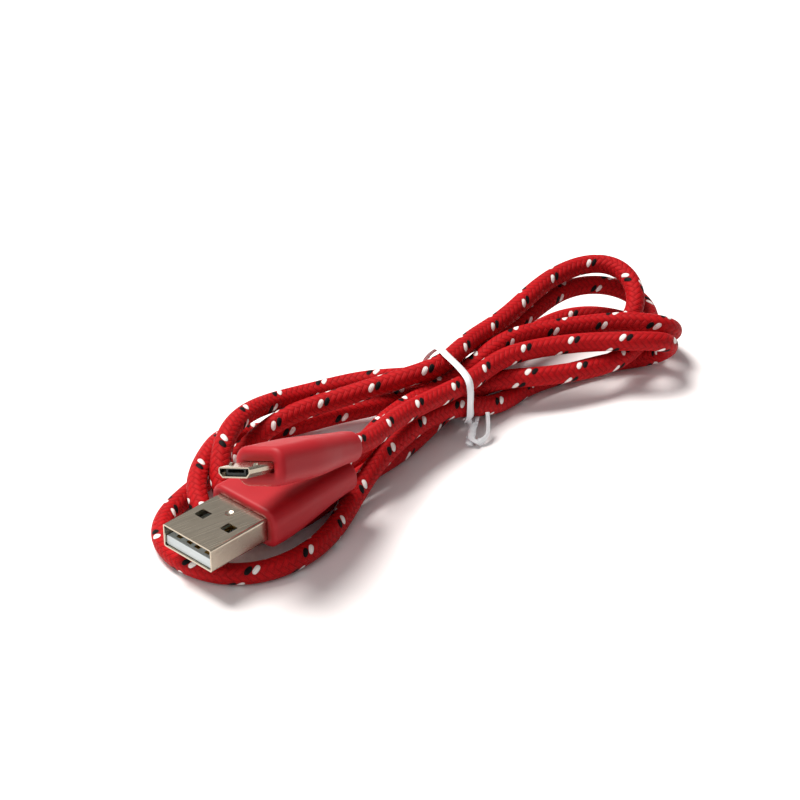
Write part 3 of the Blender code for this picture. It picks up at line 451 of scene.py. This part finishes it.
b_boot = boot_moulding("micro_b_boot_moulding", micro_b, b_boot_front, b_boot_length, (0.0107, 0.0068),
                       (0.0064, 0.0055), 0.35, 0.0024, 0.0011, b_rooms)
for piece, cad in ((a_boot, "usb_a_boot"), (b_boot, "micro_b_boot")):
    piece.data.materials.append(pvc)
    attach(piece, "cable")
    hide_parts(cad)

# ---------------------------------------------------------------- plug metalwork
# Both shells are drawn from steel strip and barrel-plated with nickel, which leaves a satin skin
# with faint drawing lines along the plug; the latch springs and crimps are the same.
def dress(names, mat):
    """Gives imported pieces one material."""
    for name in names:
        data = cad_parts[name].data
        data.materials.clear()
        data.materials.append(mat)


nickel, nickel_shader = new_material("satin nickel plate", "#bdb2a0", 0.24, metallic=1.0)
nickel_place = node(nickel, "ShaderNodeTexCoord")
nickel_turn = node(nickel, "ShaderNodeMapping", {"Vector": nickel_place.outputs["Object"],
                                                 "Rotation": (0.0, 0.0, math.radians(-12.0)),
                                                 "Scale": (120.0, 5200.0, 5200.0)})
drawn = node(nickel, "ShaderNodeTexNoise", {"Vector": nickel_turn.outputs[0], "Scale": 1.0,
                                            "Detail": 3.0})
clouds = node(nickel, "ShaderNodeTexNoise", {"Vector": nickel_place.outputs["Object"], "Scale": 420.0,
                                             "Detail": 3.0})
nickel_colour = node(nickel, "ShaderNodeMix", {0: clouds.outputs[0], 6: colour("#b6ab99"),
                                               7: colour("#c6bcab")}, data_type="RGBA")
nickel_rough = node(nickel, "ShaderNodeMapRange", {0: drawn.outputs[0], 1: 0.3, 2: 0.7, 3: 0.22, 4: 0.28})
nickel_bump = node(nickel, "ShaderNodeBump", {"Height": drawn.outputs[0], "Strength": 0.05,
                                              "Distance": 0.00001})
nickel.node_tree.links.new(nickel_colour.outputs[2], nickel_shader.inputs["Base Color"])
nickel.node_tree.links.new(nickel_rough.outputs[0], nickel_shader.inputs["Roughness"])
nickel.node_tree.links.new(nickel_bump.outputs[0], nickel_shader.inputs["Normal"])
dress(["usb_a_shell", "usb_a_crimp", "micro_b_shell", "micro_b_crimp", "micro_b_latch_left",
       "micro_b_latch_right"], nickel)

# Contacts: phosphor bronze strip, stamped, then plated with gold over nickel.
gold, gold_shader = new_material("gold plate", "#e2bd6c", 0.26, metallic=1.0)
gold_place = node(gold, "ShaderNodeTexCoord")
gold_wear = node(gold, "ShaderNodeTexNoise", {"Vector": gold_place.outputs["Object"], "Scale": 900.0,
                                              "Detail": 3.0})
gold_rough = node(gold, "ShaderNodeMapRange", {0: gold_wear.outputs[0], 1: 0.3, 2: 0.7, 3: 0.18, 4: 0.36})
gold.node_tree.links.new(gold_rough.outputs[0], gold_shader.inputs["Roughness"])
dress(["usb_a_contact_%d" % n for n in (1, 2, 3, 4)] + ["micro_b_contact_%d" % n for n in range(1, 6)],
      gold)


# ---------------------------------------------------------------- plastics inside the plugs
# Injection-moulded insulators and low-pressure mouldings: even colour, a little cloudiness.
def moulded(name, base, other, roughness, cloud=300.0):
    """Moulded plastic that drifts between two colours under a fine skin."""
    mat, shader = new_material(name, base, roughness)
    spot = node(mat, "ShaderNodeTexCoord")
    cloudy = node(mat, "ShaderNodeTexNoise", {"Vector": spot.outputs["Object"], "Scale": cloud,
                                              "Detail": 2.0})
    fine = node(mat, "ShaderNodeTexNoise", {"Vector": spot.outputs["Object"], "Scale": 6000.0})
    mixed = node(mat, "ShaderNodeMix", {0: cloudy.outputs[0], 6: colour(base), 7: colour(other)},
                 data_type="RGBA")
    bump = node(mat, "ShaderNodeBump", {"Height": fine.outputs[0], "Strength": 0.15,
                                        "Distance": 0.00002})
    mat.node_tree.links.new(mixed.outputs[2], shader.inputs["Base Color"])
    mat.node_tree.links.new(bump.outputs[0], shader.inputs["Normal"])
    return mat


dress(["usb_a_insulator"], moulded("white moulded PBT", "#c3cfd1", "#d8e0e0", 0.38))
dress(["micro_b_insulator"], moulded("black moulded nylon", "#1c2223", "#272e2f", 0.5))
dress(["usb_a_inner_mould", "micro_b_inner_mould"], moulded("natural polythene", "#d8d4c8", "#e4e1d8", 0.5))
dress(["cord_jacket"], moulded("grey PVC jacket", "#77787a", "#828385", 0.5))
for core, base, other in (("red", "#a81c1c", "#bb2424"), ("white", "#dcdcda", "#e8e8e6"),
                          ("green", "#1a7a34", "#22883c"), ("black", "#161618", "#202022")):
    dress(["wire_" + core], moulded(core + " PVC insulation", base, other, 0.42))


# ---------------------------------------------------------------- twist tie
# White PVC strip extruded over a thin steel wire: thick in the middle, thin at both edges. It goes
# once round the hank, its ends crossed underneath and one of them bent up as a hook.
def crossings(line, x):
    """Places, in Y and Z, where the cord passes the plane at x."""
    out = []
    for p, q in zip(line[:-1], line[1:]):
        if (p[0] - x) * (q[0] - x) <= 0.0:
            out.append((p + (q - p) * (x - p[0]) / (q[0] - p[0]))[1:])
    return np.array(out)


def around_bundle(centres, reach, start, count=180, step=0.0008):
    """Taut band round circles: for each direction, the outermost circle's far side."""
    out = []
    for k in range(count + 1):
        angle = math.radians(start) + 2 * math.pi * k / count
        normal = np.array((math.cos(angle), math.sin(angle)))
        point = centres[np.argmax(centres @ normal)] + normal * reach
        if not out or k == count or np.linalg.norm(point - out[-1]) > step:
            out.append(point)
    return np.array(out)


def twisted(start, end, phase, radius, turns, count=9):
    """Places on a helix between two points, each with its direction away from the axis."""
    axis = (end - start).normalized()
    first = (Vector((1.0, 0.0, 0.0)) - axis * axis.x).normalized()
    second = axis.cross(first)
    out = []
    for k in range(count):
        share = k / (count - 1)
        angle = math.radians(phase + 360.0 * turns * share)
        away = math.cos(angle) * first + math.sin(angle) * second
        out.append((*(start.lerp(end, share) + away * radius), *away))
    return out


tie_width = 0.0016
half = tie_width * 0.65
bundle = np.concatenate([crossings(lay, tie_x + shift) for shift in (-2 * half, 0.0, 2 * half)])
band = around_bundle(bundle, cord_radius + 0.0002 + tie_thick / 2, -150.0)
foot = Vector((tie_x, *band[0]))
knot = (foot + Vector((-0.0005, -0.001, -0.0003)), foot + Vector((-0.0023, -0.0027, -0.0016)))
steps = np.diff(band, axis=0)
outward = np.column_stack([steps[:, 1], -steps[:, 0]]) / np.linalg.norm(steps, axis=1)[:, None]
outward = np.concatenate([outward, outward[:1]])
loop = [(tie_x + half * (1 - 2 * k / (len(band) - 1)), *yz, 0.0, *away)
        for k, (yz, away) in enumerate(zip(band, outward))]
one_end = twisted(*knot, 0.0, tie_thick / 2 + 0.0001, 0.75)
other_end = twisted(*knot, 180.0, tie_thick / 2 + 0.0001, 0.75)
stub = [(*(Vector(one_end[-1][:3]) + Vector(step)), *one_end[-1][3:])
        for step in ((-0.0007, -0.0008, -0.0002), (-0.0013, -0.0015, -0.0002))]
hook = [(*(foot + Vector(step)), 0.82, -0.52, 0.25)
        for step in ((-0.002, -0.0041, -0.0021), (-0.0009, -0.0045, -0.0021), (0.0004, -0.0042, -0.0015),
                     (0.0014, -0.0032, -0.0002), (0.0019, -0.0024, 0.0012), (0.0021, -0.002, 0.002))]
tie_course = smooth_curve(stub[::-1] + one_end[::-1] + loop + other_end + hook, 420)
tie_path = tie_course[:, :3] + hank_place
tie_run = np.gradient(tie_path, axis=0)
tie_run /= np.linalg.norm(tie_run, axis=1)[:, None]
across_tie = np.cross(tie_run, tie_course[:, 3:])
across_tie /= np.linalg.norm(across_tie, axis=1)[:, None]
out_tie = np.cross(across_tie, tie_run)
rim = 2 * math.pi * np.arange(24) / 24
flat = np.cos(rim) * tie_width / 2
thick = np.sin(rim) * (0.00012 + (tie_thick / 2 - 0.00012) * np.exp(-(flat / 0.0005) ** 2))
tie_rings = [p + flat[:, None] * a + thick[:, None] * o
             for p, a, o in zip(tie_path, across_tie, out_tie)]
tie = new_piece("tie_strip_extruded", *loft(tie_rings))
tie.data.materials.append(moulded("white extruded PVC", "#e6e9ee", "#f3f4f6", 0.36, 500.0))
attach(tie, "cable")
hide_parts("tie_strip")
dress(["tie_wire"], nickel)

# ---------------------------------------------------------------- table and light
# White sweep under a broad softbox from behind, with a weak second one on the left.
bpy.ops.mesh.primitive_plane_add(size=6.0, location=(0.0, 0.0, 0.0))
table = bpy.context.object
table.name = "white_table"
paper, paper_shader = new_material("white paper", "#fbf8f8", 0.9)
table.data.materials.append(paper)


def softbox(name, location, size, watts, hex_code="#ffffff"):
    """Round area light that faces the origin."""
    data = bpy.data.lights.new(name, "AREA")
    data.shape = "DISK"
    data.size = size
    data.energy = watts
    data.color = colour(hex_code)[:3]
    lamp = bpy.data.objects.new(name, data)
    lamp.location = location
    lamp.rotation_euler = (-Vector(location)).to_track_quat("-Z", "Y").to_euler()
    bpy.context.scene.collection.objects.link(lamp)


softbox("key", (-0.13, 0.36, 0.74), 0.45, 11.0, "#fffaf6")
softbox("fill", (-0.60, -0.20, 0.45), 0.5, 1.0)
world = bpy.data.worlds.new("studio")
world.use_nodes = True
world.node_tree.nodes["Background"].inputs["Color"].default_value = colour("#ffffff")
world.node_tree.nodes["Background"].inputs["Strength"].default_value = 0.27
bpy.context.scene.world = world
bpy.context.scene.view_settings.view_transform = "Standard"
